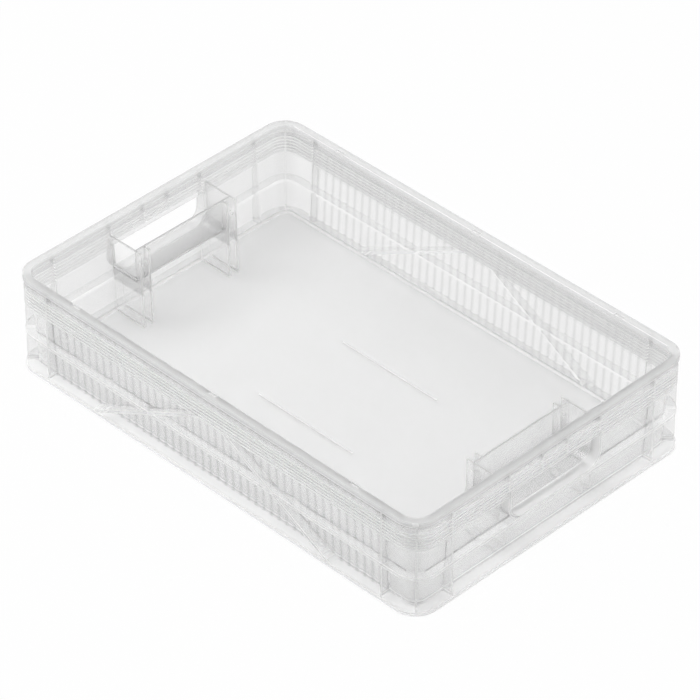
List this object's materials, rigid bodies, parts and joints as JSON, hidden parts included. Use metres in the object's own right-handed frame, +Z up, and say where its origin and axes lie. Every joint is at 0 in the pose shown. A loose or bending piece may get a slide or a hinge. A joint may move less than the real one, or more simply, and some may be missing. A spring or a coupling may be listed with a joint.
{
  "type": "storage crate",
  "caption": "Low clear plastic stacking crate with a finned rim band, reeded long walls, a hand hole in each end and a clip-in finger guard behind each hand hole.",
  "frame": {"origin": "middle of the foot ledge's underside, on the surface that the crate stands on", "axes": "+X along the long sides, towards the right hand hole; +Y across the crate; +Z up, out of the open top"},
  "size_m": [0.592, 0.4, 0.12],
  "materials": {
    "clear_tub": "clear, polished mould finish",
    "clear_guard": "clear, slightly grey"
  },
  "bodies": {
    "tub": {"crate_tub": "clear_tub"},
    "guard_right": {"grip_guard_right": "clear_guard"},
    "guard_left": {"grip_guard_left": "clear_guard"}
  },
  "joints": [
    {"name": "guard_right_lift", "type": "slide", "parent": "tub", "child": "guard_right", "axis": [0, 0, 1], "range_m": [0, 0.115]},
    {"name": "guard_left_lift", "type": "slide", "parent": "tub", "child": "guard_left", "axis": [0, 0, 1], "range_m": [0, 0.115]}
  ]
}
